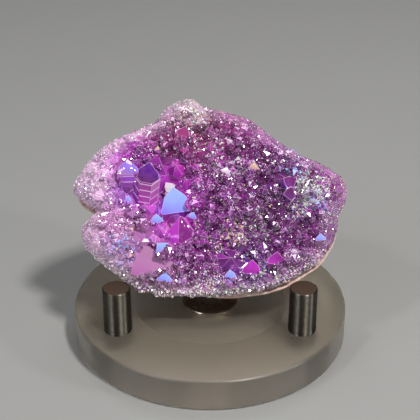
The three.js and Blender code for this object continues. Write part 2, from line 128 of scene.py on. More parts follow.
# The stand and the floor
ACRYLIC_WALL = linear(250, 244, 234)
# Painted shade: the top a little darker than the wall
SHADED_ACRYLIC_TOP = linear(238, 228, 212)
ACRYLIC_HAZE = linear(226, 216, 200)
ACRYLIC_SPECK = linear(90, 78, 66)
SMOKE = linear(184, 168, 148)
SMOKE_DENSITY = 7.0
STEEL = linear(94, 90, 82)
# Painted reflection: the stone's dark brown image in the pins' cut ends
STEEL_END_REFLECTION = linear(88, 72, 62)
NICKEL = linear(176, 166, 158)
FLOOR_GREY = linear(130, 130, 129)

# Broad colour of the crust by place on the face, as [u, v, radius, colour]
ZONES = [
    (-26, 4, 6, PALE_LAVENDER),
    (-26.6, -3.7, 1.5, GOLD),
    (-24, -8, 6, ROSE),
    (-18, 7, 5, MAGENTA),
    (-18.5, 1, 3, VIOLET),
    (-12, 1, 7, MAGENTA),
    (-15, 4, 4, DEEP_VIOLET),
    (-8, -7, 6, MAGENTA),
    (-16.5, -7, 4, ROSE),
    (-3, 20, 4, SHELL_PINK),
    (-8, 13, 6, DUSKY_ROSE),
    (3, 15, 6, DUSKY_ROSE),
    (8, 9, 7, PLUM),
    (3, 1, 7, PLUM),
    (0, -9, 6, PLUM),
    (13, -4, 8, DARK_PLUM),
    (14, 5, 6, DARK_PLUM),
    (25, 0, 6, PLUM),
    (9, -15, 4.5, DEEP_VIOLET),
    (3, -14, 4, DARK_MAGENTA),
    (16, -13, 6, PLUM),
    (-14, -15, 6, ROSE),
    (-4, -16, 5, DARK_MAGENTA),
]

# Patches where many faces are painted one glint colour, or painted dark as shade, as [u, v, radius, colour,
# share of the faces]
GLINT_AND_SHADE_PATCHES = [
    (22.5, 1.2, 4.8, SILVER_GREEN, 0.85),
    (22.5, 1, 4.2, PAINTED_SHADE, 0.25),
    (14.5, -18, 3.6, SILVER_GREEN, 0.7),
    (19, -15, 3, WHITE, 0.4),
    (-26, 1, 4, WHITE, 0.28),
    (-5, 20, 4, SILVER_GREEN, 0.6),
    (0, -21, 4, WHITE, 0.4),
    (-19.7, -12.1, 2.6, ICE_BLUE, 0.7),
    (24.5, -2.7, 2.6, ICE_BLUE, 0.6),
    (27, -4, 3, SILVER_GREEN, 0.4),
    (30, -5, 3, SILVER_GREEN, 0.5),
    (30.5, 2.5, 3, GOLD, 0.3),
    (18.6, 5.2, 2, ICE_BLUE, 0.5),
    (20, 12, 3, ICE_BLUE, 0.3),
    (6, -9, 4, GOLD, 0.36),
    (11, -7.5, 4.5, SILVER_GREEN, 0.26),
    (13, -2, 5, PAINTED_SHADE, 0.25),
    (5, 7, 5, WHITE, 0.26),
    (0.5, 11.5, 3.5, SILVER_GREEN, 0.12),
    (-14, 13, 5, WHITE, 0.12),
    (-9.9, 1.3, 1.3, WHITE, 0.9),
    (-11.8, -0.8, 1, SILVER_GREEN, 0.8),
]
# Painted glints scattered all over, as [share of the faces, colour]
STRAY_PAINTED_GLINTS = ((0.034, WHITE), (0.008, ICE_BLUE), (0.012, GOLD))
# Painted glints make the lower rim sparkle in a band: it lies under this v and past this share of the way to
# the edge
RIM_TOP = -12.0
RIM_START = 0.94
RIM_PAINTED_GLINTS = ((0.0, 0.24, SILVER_GREEN), (0.24, 0.42, WHITE), (0.42, 0.52, GOLD))
# Painted shade: faces painted nearly black, away from the pale rim
SHADOWED = 0.035  # share of the faces that look nearly black, away from the pale rim

# Faces of the large crystals with colours set one by one, as [u, v, upper colour, lower colour]. The white,
# silver-green, gold and ice-blue ones are painted reflections, the others the coat's own colours.
FACE_TINTS = [
    (-7.6, -1.4, ICE_BLUE, BLUE_VIOLET),
    (-9.9, 1.9, WHITE, SILVER_GREEN),
    (-12.2, -0.7, MAUVE, MAGENTA),
    (-11.0, -1.6, DEEP_VIOLET, VIOLET),
    (-9.6, -4.2, DEEP_VIOLET, PLUM),
    (-8.4, -6.8, DARK_MAGENTA, RED_PLUM),
    (-5.0, -7.4, DARK_MAGENTA, PLUM),
    (-14.0, 4.6, DEEP_VIOLET, DARK_PLUM),
    (-14.6, 1.0, PLUM, MAGENTA),
    (-18.8, 5.4, BLUE_VIOLET, ROSE),
    (-18.4, 2.8, VIOLET, MAGENTA),
    (-11.3, -12.6, ICE_BLUE, BLUE_VIOLET),
    (-13.0, -9.9, VIOLET, ROSE),
    (-13.8, -14.6, ROSE, MAUVE),
    (-10.0, -17.9, ICE_BLUE, BLUE_VIOLET),
    (4.4, -17.8, ICE_BLUE, BLUE_VIOLET),
    (9.2, -16.2, MAGENTA, PLUM),
    (14.6, -14.2, PLUM, MAGENTA),
    (10.2, 6.4, GOLD, PLUM),
    (-5.4, 13.9, RED_PLUM, RED_PLUM),
    (16.6, 2.4, VIOLET, DEEP_VIOLET),
    (16.4, -0.4, VIOLET, DARK_PLUM),
    (-12.1, -4.8, ICE_BLUE, BLUE_VIOLET),
    (-18.3, -0.8, ICE_BLUE, VIOLET),
    (-3.6, -4.7, ICE_BLUE, BLUE_VIOLET),
    (24.5, -9.4, ICE_BLUE, BLUE_VIOLET),
]

# Places where the crystals stand clean of druse, as [u, v, radius, share that is clean]
CLEAN_PLACES = [
    (-12, 2, 7.5, 0.85),
    (-7, -6.5, 4.5, 0.85),
    (-13, -13, 5.5, 0.85),
    (8, -16, 6, 0.6),
    (16, 2, 3.5, 0.6),
]

# Layers of small crystals: how many to a square millimetre, their radius in millimetres, its spread as a
# share of it, how far they lean in degrees, their seed, and how much painted glint and shade they get
LAYERS = {
    "small_crystals": dict(per_mm2=0.2, radius=0.82, spread=0.4, lean=42, seed=7, glint_and_shade_share=0.28),
    "druse": dict(per_mm2=0.8, radius=0.4, spread=0.4, lean=48, seed=11, glint_and_shade_share=0.8),
    "fine_druse": dict(per_mm2=2.3, radius=0.27, spread=0.45, lean=60, seed=23, glint_and_shade_share=1.7),
    "glints": dict(per_mm2=2.4, radius=0.19, spread=0.35, lean=64, seed=31, glint_and_shade_share=2.2),
}
# The coarsest layer's pale lines are painted edge highlights
COARSEST = "small_crystals"  # the layer with pale lines, which keeps away from the crust's edge

# The druse's painted glints and highlights come in patches of this breadth, from the least to the most of
# their usual amount
PATCH = 4.2
PATCH_CONTRAST = 3.2
LEAST_SPARKLE = 0.1
MOST_SPARKLE = 2.6

# Two faces that bend less than FLAT are one facet, and two that bend out by more than CRYSTAL_EDGE belong to
# one crystal. A facet with a side closer to its middle than SLIVER has no painted highlight line along its
# rim.
FLAT = math.radians(0.6)
CRYSTAL_EDGE = math.radians(14)
SLIVER = 0.02
FACET_LINE = 0.1  # width of the pale line along a facet's rim
THINNER = 2.2  # how much thinner it is on crystals with no face of a named colour
SMALL_LINE = 0.45  # its width on the small crystals, as a share
FAR_IN = 9.0  # widths of the line, past its end

# Growth lines on the shafts near a place, given as u, v and radius: real growth steps, drawn as pale lines
# that are painted highlight
RIBBED = (-14.6, 1.6, 3.2)
STEEP = 0.88  # a shaft's face looks less far out than this
RIB_GAP = 1.5  # from one growth line to the next
NO_RIBS = 0.0  # a height between two growth lines

# How pale the crust turns towards its rim: from where, over how much of the way out, and how pale at most
PALE_START = 0.84
PALE_WIDTH = 0.1
PALE_MOST = 0.9
PALE_LEFT = -17.0  # druse to the left of this u is paler and more even
PALE_LEFT_WIDTH = 5.0

# Where druse grows: not on faces that look back into the stone, and only on the underside of a named crystal.
# Crystals stand clean of it only this far out, and the small crystals grow this far out.
SEAT_SIDE = -0.6
UNDERSIDE = -0.4
FRONT_SIDE = 0.9
CLEAN_REACH = 0.8
CRYSTAL_REACH = 0.9

# How much plum there is everywhere, and how the rim gets less pale towards this u, down to a least share
PLUM_EVERYWHERE = 0.02
RIM_FADES_AT = 8
RIM_FADES_OVER = 20
RIM_LEAST_PALE = 0.35

# Painted shade turns facets dark only this far out and right of this u. A facet's tint runs up and a little
# to the right.
SHADOW_REACH = 0.86
SHADOW_LEFT = -20
TINT_SLANT = 0.35
TINT_SPEED = 1.5

# Least and most shade by crystal, by facet, and of a facet's lower colour, which has some violet in it
CRYSTAL_SHADES = (0.6, 1.3)
FACET_SHADES = (0.75, 1.25)
LOWER_SHADES = (0.45, 0.85)
LOWER_VIOLET = 0.25

# Shades of the small crystals, which are even on the pale left side and painted brighter, as highlight, in
# patches that sparkle
SMALL_LEAST = 0.45
SMALL_LEAST_PALE = 0.95
SMALL_MOST = 1.25
SMALL_FACE_SHADES = (0.5, 1.3)
DULL_PATCH = 0.55
BY_SPARKLE = 0.35
BY_PALENESS = 0.5
BRIGHTEST_PATCH = 1.1
SMALL_LOWER = 0.45
SMALL_LOWER_VIOLET = 0.2

# Painted glints and shade in patches: how strong they are, how their number grows with a layer's share, and
# at most
PAINTED_PATCH_STRENGTH = (0.6, 1.0)
PAINTED_PATCH_GROWTH = 2
PAINTED_PATCH_MOST = 1.3

# Druse gets finer towards the edge, less so at the lower rim (under its v), and finer in the left lobe (left
# of its u)
FINE_START = 0.75
FINE_WIDTH = 0.2
FINER_AT_EDGE = 0.6
FINER_IN_LOBE = 0.3
COARSER_AT_LOWER_RIM = 0.6
LOWER_RIM, LOWER_RIM_WIDTH = -10, 5
LOBE, LOBE_WIDTH = -19, 4
GROUND_DRUSE = 0.45  # the ground between the crystals draws from this up, so less of it is clean


def point_of(u, v, w):
    """A point in the stone's axes, in millimetres, as a vector in metres in the part's frame."""
    return Vector((STONE_CENTRE + u * U_AXIS + v * V_AXIS + w * W_AXIS) * MM)


def stone_axes(points):
    """Points in the part's frame, in metres, as rows of u, v and w in millimetres."""
    away = np.asarray(points) / MM - STONE_CENTRE
    return np.stack([away @ U_AXIS, away @ V_AXIS, away @ W_AXIS], axis=1)


# Pieces and meshes


def new_object(name, mesh):
    obj = bpy.data.objects.new(name, mesh)
    bpy.context.scene.collection.objects.link(obj)
    return obj


def dress(obj, material, slot, *nodes):
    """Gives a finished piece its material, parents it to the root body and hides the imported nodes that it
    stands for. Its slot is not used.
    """
    obj.data.materials.clear()
    obj.data.materials.append(material)
    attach(obj, "root")
    if nodes:
        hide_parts(*nodes)


def merged_copy(node, name):
    """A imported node's surface as a new mesh whose faces share their corners."""
    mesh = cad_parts[node].data.copy()
    mesh.name = name
    bm = bmesh.new()
    bm.from_mesh(mesh)
    bmesh.ops.remove_doubles(bm, verts=bm.verts, dist=0.002 * MM)
    bmesh.ops.dissolve_degenerate(bm, edges=bm.edges, dist=0.002 * MM)
    bm.to_mesh(mesh)
    bm.free()
    mesh.materials.clear()
    return mesh


def stored(items, name, width=1, kind=float):
    """What a mesh stores under a name for each of its items, as an array."""
    values = np.empty(len(items) * width, dtype=kind)
    items.foreach_get(name, values)
    return values.reshape(-1, width) if width > 1 else values


def corners(mesh):
    return stored(mesh.vertices, "co", 3)


def per_corner(mesh, by_face):
    """Values of the faces, one for each corner of each face."""
    return np.repeat(by_face, [len(face.vertices) for face in mesh.polygons], axis=0)


def baked(obj):
    """The object's mesh with its modifiers applied and removed."""
    bpy.context.view_layer.update()
    depsgraph = bpy.context.evaluated_depsgraph_get()
    mesh = bpy.data.meshes.new_from_object(obj.evaluated_get(depsgraph))
    mesh.name = obj.name
    old = obj.data
    obj.modifiers.clear()
    obj.data = mesh
    bpy.data.meshes.remove(old)
    return obj


def turned(name, profile, segments, centre=(0.0, 0.0), smooth_angle=30):
    """A solid of revolution from [radius, height] points in millimetres, which start and end on the axis."""
    bm = bmesh.new()
    rings = []
    for radius, height in profile:
        count = 1 if radius == 0 else segments
        ring = []
        for k in range(count):
            angle = 2 * math.pi * k / segments
            place = (centre[0] + radius * math.cos(angle), centre[1] + radius * math.sin(angle), height)
            ring.append(bm.verts.new(Vector(place) * MM))
        rings.append(ring)
    for low, high in zip(rings, rings[1:]):
        for k in range(segments):
            nxt = (k + 1) % segments
            if len(low) == 1:
                bm.faces.new((low[0], high[nxt], high[k]))
            elif len(high) == 1:
                bm.faces.new((low[k], low[nxt], high[0]))
            else:
                bm.faces.new((low[k], low[nxt], high[nxt], high[k]))
    bmesh.ops.recalc_face_normals(bm, faces=bm.faces)
    mesh = bpy.data.meshes.new(name)
    bm.to_mesh(mesh)
    bm.free()
    mesh.shade_smooth()
    mesh.set_sharp_from_angle(angle=math.radians(smooth_angle))
    return new_object(name, mesh)


def rounded(start, corner, end, steps=6):
    """Points of a round corner from start to end, which bulges towards corner."""
    a, c, b = np.array(start), np.array(corner), np.array(end)
    points = []
    for k in range(steps + 1):
        t = k / steps
        points.append(tuple((1 - t) ** 2 * a + 2 * t * (1 - t) * c + t**2 * b))
    return points


# Materials


class Shader:
    """A material under construction: makes nodes, links them and sets the values of the surface shader."""

    def __init__(self, name):
        self.material = bpy.data.materials.new(name)
        self.material.use_nodes = True
        self.tree = self.material.node_tree
        self.surface = next(n for n in self.tree.nodes if n.type == "BSDF_PRINCIPLED")
        self.output = next(n for n in self.tree.nodes if n.type == "OUTPUT_MATERIAL")

    def node(self, kind, inputs=None, **settings):
        return add_node(self.tree, kind, inputs, **settings)

    def set(self, **values):
        for name, value in values.items():
            socket = self.surface.inputs[name.replace("_", " ")]
            if isinstance(value, bpy.types.NodeSocket):
                self.tree.links.new(value, socket)
            else:
                socket.default_value = value

    def place(self):
        """Object coordinates in millimetres."""
        coordinates = self.node("ShaderNodeTexCoord").outputs["Object"]
        scaled = self.node("ShaderNodeVectorMath", {0: coordinates, "Scale": 1 / MM}, operation="SCALE")
        return scaled.outputs["Vector"]

    def height(self):
        return self.node("ShaderNodeSeparateXYZ", {0: self.place()}).outputs["Z"]

    def stored(self, name, output):
        """What the mesh stores under a name."""
        return self.node("ShaderNodeAttribute", attribute_name=name).outputs[output]


def add_node(tree, kind, inputs=None, **settings):
    """A node with its settings, and its inputs as values or as the sockets that feed them."""
    node = tree.nodes.new(kind)
    for key, value in settings.items():
        setattr(node, key, value)
    for key, value in (inputs or {}).items():
        if isinstance(value, bpy.types.NodeSocket):
            tree.links.new(value, node.inputs[key])
        else:
            node.inputs[key].default_value = value
    return node


def ramp(shader, factor, stops):
    """Colour of a factor through stops of (position, colour)."""
    node = shader.node("ShaderNodeValToRGB", {"Fac": factor})
    elements = node.color_ramp.elements
    while len(elements) < len(stops):
        elements.new(0.5)
    for element, (position, colour) in zip(elements, stops):
        element.position = position
        element.color = (*colour, 1.0)
    return node.outputs["Color"]


def grain_group():
    """Uneven grain of a surface: a mask from 0 to 1, whose patches have a given size in millimetres."""
    tree = bpy.data.node_groups.new("surface grain", "ShaderNodeTree")
    face = tree.interface
    face.new_socket(name="Place", in_out="INPUT", socket_type="NodeSocketVector")
    for name, value in (("Size", 1.0), ("Stretch", 1.0), ("Contrast", 1.0)):
        face.new_socket(name=name, in_out="INPUT", socket_type="NodeSocketFloat").default_value = value
    face.new_socket(name="Mask", in_out="OUTPUT", socket_type="NodeSocketFloat")
    given = tree.nodes.new("NodeGroupInput")
    made = tree.nodes.new("NodeGroupOutput")

    def add(kind, inputs, **settings):
        return add_node(tree, kind, inputs, **settings).outputs[0]

    rate = add("ShaderNodeMath", {0: 1.0, 1: given.outputs["Size"]}, operation="DIVIDE")
    across = add("ShaderNodeMath", {0: rate, 1: given.outputs["Stretch"]}, operation="DIVIDE")
    scale = add("ShaderNodeCombineXYZ", {"X": across, "Y": across, "Z": rate})
    moved = add("ShaderNodeVectorMath", {0: given.outputs["Place"], 1: scale}, operation="MULTIPLY")
    cloud = add("ShaderNodeTexNoise", {"Vector": moved, "Scale": 1.0, "Detail": 4.0, "Roughness": 0.6})
    centred = add("ShaderNodeMath", {0: cloud, 1: 0.5}, operation="SUBTRACT")
    contrasted = {0: centred, 1: given.outputs["Contrast"], 2: 0.5}
    spread = add("ShaderNodeMath", contrasted, operation="MULTIPLY_ADD", use_clamp=True)
    tree.links.new(spread, made.inputs["Mask"])
    return tree


GRAIN = grain_group()


def grain(shader, size, stretch=1.0, contrast=1.0, place=None):
    node = shader.node("ShaderNodeGroup", node_tree=GRAIN)
    shader.tree.links.new(place or shader.place(), node.inputs["Place"])
    for name, value in (("Size", size), ("Stretch", stretch), ("Contrast", contrast)):
        node.inputs[name].default_value = value
    return node.outputs["Mask"]


def between(shader, factor, low, high, start=0.0, end=1.0):
    """A number that runs from low to high as a factor runs from start to end."""
    limits = {"From Min": start, "From Max": end, "To Min": low, "To Max": high}
    return shader.node("ShaderNodeMapRange", {"Value": factor, **limits}).outputs["Result"]


def worked_out(shader, operation, *values):
    node = shader.node("ShaderNodeMath", dict(enumerate(values)), operation=operation)
    return node.outputs[0]


def bump(shader, height, strength, distance):
    node = shader.node("ShaderNodeBump", {"Height": height, "Strength": strength, "Distance": distance * MM})
    return node.outputs["Normal"]


def blend_colours(shader, factor, first, second):
    node = shader.node("ShaderNodeMix", data_type="RGBA")
    for socket, value in ((node.inputs[0], factor), (node.inputs[6], first), (node.inputs[7], second)):
        if isinstance(value, bpy.types.NodeSocket):
            shader.tree.links.new(value, socket)
        else:
            socket.default_value = value if isinstance(value, float) else (*value, 1.0)
    return node.outputs[2]


def coated_quartz(name, roughness, metallic, lined=False):
    """Quartz under a thin metal coat: the tint stored on its faces, under a glassy surface. A lined one has
    painted highlights round its facets' rims, and its shafts' real growth steps drawn as pale lines of
    painted highlight."""
    shader = Shader(name)
    cloud = grain(shader, size=0.9, contrast=2.4)
    veiled = blend_colours(shader, between(shader, cloud, 0.0, 0.2), shader.stored("tint", "Color"), VEIL)
    if lined:
        # Growth lines: real steps on the shafts, painted pale as the highlight they catch
        peak = RIB_GAP / 2
        step = worked_out(shader, "PINGPONG", shader.stored("rise", "Fac"), peak)
        ribs_and_highlight = between(shader, step, 0.0, 1.0, start=0.78 * peak, end=0.95 * peak)
        veiled = blend_colours(shader, ribs_and_highlight, veiled, GROWTH_LINE_HIGHLIGHT)
        # Painted highlight along each facet's rim
        edge_highlight = between(shader, shader.stored("inward", "Fac"), 0.8, 0.0)
        veiled = blend_colours(shader, edge_highlight, veiled, PAINTED_EDGE_HIGHLIGHT)
    growth = grain(shader, size=0.16, stretch=5.0, contrast=1.6)
    shader.set(
        Base_Color=veiled,
        Metallic=metallic,
        Roughness=between(shader, grain(shader, size=0.5, contrast=2.0), roughness, roughness + 0.14),
        IOR=1.54,
        Coat_Weight=1.0,
        Coat_Roughness=0.03,
        Coat_IOR=1.7,
        Normal=bump(shader, growth, 0.05, 0.04),
    )
    return shader.material


def rock():
    """Salmon-pink chalcedony near the crust's edge, rougher and browner towards the back."""
    shader = Shader("salmon and tan rock")
    place = shader.place()
    depth = shader.node(
        "ShaderNodeVectorMath", {0: place, 1: tuple(-W_AXIS)}, operation="DOT_PRODUCT"
    ).outputs["Value"]
    rim_depth = float(-STONE_CENTRE @ W_AXIS)
    start, end = (rim_depth + depth_behind for depth_behind in WEATHERED_DEPTHS)
    back = between(shader, depth, 0.0, 1.0, start, end)
    fresh = ramp(shader, grain(shader, size=3.5, contrast=2.2, place=place), FRESH_ROCK)
    weathered = ramp(shader, grain(shader, size=5.0, contrast=2.6, place=place), WEATHERED_ROCK)
    stain = grain(shader, size=1.1, contrast=3.4, place=place)
    body = blend_colours(shader, back, fresh, weathered)
    body = blend_colours(shader, between(shader, stain, -0.3, 0.45), body, STAIN)
    fine = grain(shader, size=0.35, contrast=2.0, place=place)
    shader.set(
        Base_Color=body,
        Roughness=between(shader, fine, 0.55, 0.9),
        Subsurface_Weight=0.08,
        Normal=bump(shader, fine, 0.5, 0.12),
    )
    shader.surface.inputs["Subsurface Radius"].default_value = (1.2 * MM, 0.7 * MM, 0.5 * MM)
    shader.surface.inputs["Subsurface Scale"].default_value = 1.0
    return shader.material


def frosted_acrylic():
    """Clear acrylic with a little smoke in it, a satin skin, cloudy specks and faint handling marks. Its top
    is painted a little darker than its wall, as painted shade.
    """
    shader = Shader("frosted smoke acrylic")
    place = shader.place()
    on_top = between(shader, shader.height(), 0.0, 1.0, DISC_THICKNESS - 0.4, DISC_THICKNESS - 0.1)
    haze = grain(shader, size=6.0, contrast=1.8, place=place)
    satin = worked_out(shader, "MULTIPLY", on_top, between(shader, haze, 0.06, 0.16))
    roughness = worked_out(shader, "ADD", satin, between(shader, on_top, 0.3, 0.2))
    dust = shader.node("ShaderNodeTexVoronoi", {"Vector": place, "Scale": 0.34, "Randomness": 1.0})
    speck = between(shader, dust.outputs["Distance"], 0.5, 0.0, start=0.03, end=0.07)
    clear = blend_colours(shader, on_top, ACRYLIC_WALL, SHADED_ACRYLIC_TOP)
    skin = blend_colours(shader, between(shader, haze, 0.0, 0.4), clear, ACRYLIC_HAZE)
    shader.set(
        Base_Color=blend_colours(shader, speck, skin, ACRYLIC_SPECK),
        Roughness=roughness,
        IOR=1.49,
        Transmission_Weight=0.95,
    )
    smoke = shader.node("ShaderNodeVolumeAbsorption")
    smoke.inputs["Color"].default_value = (*SMOKE, 1.0)
    smoke.inputs["Density"].default_value = SMOKE_DENSITY
    shader.tree.links.new(smoke.outputs["Volume"], shader.output.inputs["Volume"])
    return shader.material


def turned_steel(name, colour, roughness, marks, stretch, end_height=None):
    """Bare metal off the lathe: fine marks round it, which stretch its highlights, uneven shine and dull
    spots. A cut end at end_height is rougher than the rest and painted dark brown, a painted reflection of
    the stone."""
    shader = Shader(name)
    place = shader.place()
    rings = grain(shader, size=0.09, stretch=60.0, contrast=2.2, place=place)
    spots = grain(shader, size=0.8, contrast=3.0, place=place)
    metal = blend_colours(shader, between(shader, spots, -0.2, 0.5), colour, tuple(c * 0.62 for c in colour))
    shine = between(shader, rings, roughness, roughness + 0.18)
    if end_height is not None:
        end = between(shader, shader.height(), 0.0, 1.0, end_height - 0.03, end_height - 0.01)
        metal = blend_colours(shader, end, metal, STEEL_END_REFLECTION)
        shine = worked_out(shader, "MULTIPLY_ADD", end, 0.4, shine)
        stretch = between(shader, end, stretch, 0.0)
    shader.set(
        Base_Color=metal,
        Metallic=1.0,
        Roughness=shine,
        Anisotropic=stretch,
        Anisotropic_Rotation=0.25,
        Normal=bump(shader, rings, marks, 0.04),
    )
    return shader.material


# The crystal crust


def grouped(count, pairs):
    """Group numbers for items, where each pair of items is joined."""
    parent = list(range(count))

    def root(i):
        while parent[i] != i:
            parent[i] = parent[parent[i]]
            i = parent[i]
        return i

    for a, b in pairs:
        parent[root(a)] = root(b)
    return np.array([root(i) for i in range(count)])


def fan_facets(mesh, merge_flat=False, line=1.0):
    """Fans each facet of a mesh out from its middle. It stores each face's facet number and, at each corner
    of a face, how far in from the facet's rim the corner is, in widths of its painted highlight line."""
    bm = bmesh.new()
    bm.from_mesh(mesh)
    if merge_flat:
        bmesh.ops.dissolve_limit(bm, angle_limit=FLAT, verts=bm.verts, edges=bm.edges)
    number = bm.faces.layers.int.new("facet")
    inward = bm.loops.layers.float.new("inward")
    plain = []
    for k, face in enumerate(list(bm.faces)):
        face[number] = k
        middle = face.calc_center_median_weighted()
        rim = [loop.vert for loop in face.loops]
        sides = list(zip(rim, rim[1:] + rim[:1]))
        depths = []
        for a, b in sides:
            along = b.co - a.co
            depths.append(along.cross(middle - a.co).dot(face.normal) / max(along.length, 1e-9) / MM)
        if min(depths) < SLIVER:
            plain.append(face)
            continue
        peak = bm.verts.new(middle)
        for (a, b), depth in zip(sides, depths):
            fan = bm.faces.new((a, b, peak), face)
            fan.loops[2][inward] = depth / (FACET_LINE * line)
        bm.faces.remove(face)
    for face in bmesh.ops.triangulate(bm, faces=plain)["faces"]:
        for loop in face.loops:
            loop[inward] = FAR_IN
    bm.to_mesh(mesh)
    bm.free()


def facet_numbers(mesh):
    return stored(mesh.attributes["facet"].data, "value", kind=int)


def facets_and_crystals(mesh):
    """For each face of the crust, its facet and its crystal. Facets of a crystal meet in edges that stand
    out, and crystals meet each other in creases."""
    facet = facet_numbers(mesh)
    bm = bmesh.new()
    bm.from_mesh(mesh)
    joined = []
    for edge in bm.edges:
        if len(edge.link_faces) == 2:
            a, b = (face.index for face in edge.link_faces)
            if facet[a] == facet[b] or (edge.is_convex and edge.calc_face_angle(0.0) > CRYSTAL_EDGE):
                joined.append((a, b))
    bm.free()
    return facet, grouped(len(facet), joined)


class Edge:
    """The crust's outline seen from the front: its radius by angle."""

    def __init__(self, points, bins=90):
        angle = np.arctan2(points[:, 1], points[:, 0]) % (2 * math.pi)
        radius = np.hypot(points[:, 0], points[:, 1])
        self.step = 2 * math.pi / bins
        place = (angle / self.step).astype(int)
        self.radius = np.array([radius[place == k].max() for k in range(bins)])

    def share(self, points):
        """0 at the middle of the face and 1 at its edge, for rows that start with u and v."""
        angle = np.arctan2(points[:, 1], points[:, 0]) % (2 * math.pi)
        at = angle / self.step - 0.5
        low = np.floor(at).astype(int)
        mix = at - low
        count = len(self.radius)
        radius = self.radius[low % count] * (1 - mix) + self.radius[(low + 1) % count] * mix
        return np.hypot(points[:, 0], points[:, 1]) / radius


def spread_between(rng, shape, least, most):
    """Random numbers from least to most."""
    return least + (most - least) * rng.random(shape)


def near(points, u, v, radius):
    """1 at a place on the face, and less and less away from it, on the scale of a radius."""
    return np.exp(-((points[:, 0] - u) ** 2 + (points[:, 1] - v) ** 2) / radius**2)


def zone_colours(points, share):
    """The broad colour of the crust at each place, paler towards its rim."""
    weights = np.full((len(points), 1), PLUM_EVERYWHERE)
    colours = np.tile(np.array(PLUM), (len(points), 1)) * weights
    for u, v, radius, colour in ZONES:
        weight = near(points, u, v, radius)[:, None]
        colours += weight * np.array(colour)
        weights += weight
    colours /= weights
    left = np.clip((RIM_FADES_AT - points[:, 0]) / RIM_FADES_OVER, RIM_LEAST_PALE, 1)
    rim = (np.clip((share - PALE_START) / PALE_WIDTH, 0, 1) * left)[:, None] * PALE_MOST
    return colours * (1 - rim) + np.array(PALE_LAVENDER) * rim


def patches(points):
    """How much painted sparkle the druse gets at each place, where 1 is usual."""
    uneven = np.array([noise.noise(Vector(point) / PATCH) for point in points])
    return np.clip(1 + PATCH_CONTRAST * uneven, LEAST_SPARKLE, MOST_SPARKLE)


def paint_glints_and_shade(colours, points, edge, rng, share):
    """Paints glints on some faces: more of them in the patches of painted glints, and a few all over. Others
    are painted dark as shade. Share scales how many."""
    chance = rng.random(len(points))
    strength = spread_between(rng, (len(points), 1), *PAINTED_PATCH_STRENGTH)
    for u, v, radius, colour, part in GLINT_AND_SHADE_PATCHES:
        most = np.clip(PAINTED_PATCH_GROWTH * share, 0, PAINTED_PATCH_MOST) * part
        lit = chance < most * near(points, u, v, radius)
        colours[lit] = colours[lit] * (1 - strength[lit]) + np.array(colour) * strength[lit]
    floor = np.ones(len(points))
    for part, colour in STRAY_PAINTED_GLINTS:
        lit = (chance < floor) & (chance >= floor - part * share)
        colours[lit] = colour
        floor = floor - part * share
    share_out = edge.share(points)
    on_rim = (share_out > RIM_START) & (points[:, 1] < RIM_TOP)
    for low, high, colour in RIM_PAINTED_GLINTS:
        colours[on_rim & (chance >= low) & (chance < high)] = colour
    inner = (share_out < SHADOW_REACH) & (points[:, 0] > SHADOW_LEFT)
    colours[inner & (chance < floor) & (chance >= floor - SHADOWED * share)] = PAINTED_SHADE
    return np.clip(colours, 0, 1)


def set_corners(mesh, name, values):
    """Stores a number or a colour for each corner of each face, for the shader to read."""
    kind = "FLOAT_COLOR" if values.ndim == 2 else "FLOAT"
    layer = mesh.attributes.new(name=name, type=kind, domain="CORNER")
    if values.ndim == 2:
        layer.data.foreach_set("color", np.column_stack([values, np.ones(len(values))]).ravel())
    else:
        layer.data.foreach_set("value", values)


def shade_facets(mesh, facet, upper, lower):
    """Gives each facet a tint that runs from its lower to its upper colour, and shafts their growth lines."""
    places = stone_axes(corners(mesh))
    loop_face = per_corner(mesh, np.arange(len(facet)))
    loop_corner = stored(mesh.loops, "vertex_index", kind=int)
    height = places[loop_corner, 1] + TINT_SLANT * places[loop_corner, 0]
    group = facet[loop_face]
    low = np.full(facet.max() + 1, np.inf)
    high = np.full(facet.max() + 1, -np.inf)
    np.minimum.at(low, group, height)
    np.maximum.at(high, group, height)
    at = ((height - low[group]) / np.maximum(high[group] - low[group], 1e-6))[:, None]
    at = np.clip(at * TINT_SPEED, 0, 1)
    set_corners(mesh, "tint", lower[loop_face] * (1 - at) + upper[loop_face] * at)
    normals = stone_axes(np.array([face.normal[:] for face in mesh.polygons]) * MM + STONE_CENTRE * MM)
    out = np.array([0.0, 0.0, 1.0])
    rising = out - (normals @ out)[:, None] * normals
    rising /= np.maximum(np.linalg.norm(rising, axis=1), 1e-3)[:, None]
    corner_count = np.maximum(np.bincount(group, minlength=len(low)), 1)
    middle_u, middle_v = (np.bincount(group, places[loop_corner, k], len(low)) / corner_count for k in (0, 1))
    ribbed = np.hypot(middle_u - RIBBED[0], middle_v - RIBBED[1]) < RIBBED[2]
    shaft = (normals @ out < STEEP)[loop_face] & ribbed[group]
    along_shaft = np.einsum("ij,ij->i", places[loop_corner], rising[loop_face])
    set_corners(mesh, "rise", np.where(shaft, along_shaft, NO_RIBS))


def thin_lines(mesh, faces):
    """Makes the painted highlight lines along the rims of some faces thinner."""
    inward = stored(mesh.attributes["inward"].data, "value")
    inward *= np.where(per_corner(mesh, faces), THINNER, 1.0)
    mesh.attributes["inward"].data.foreach_set("value", inward)


def keep_only(mesh, *names):
    """Drops the marks that only the making of the piece needed."""
    for name in [a.name for a in mesh.attributes if not a.is_required and not a.is_internal]:
        if name not in names and name not in ("material_index", "sharp_face", "sharp_edge"):
            mesh.attributes.remove(mesh.attributes[name])


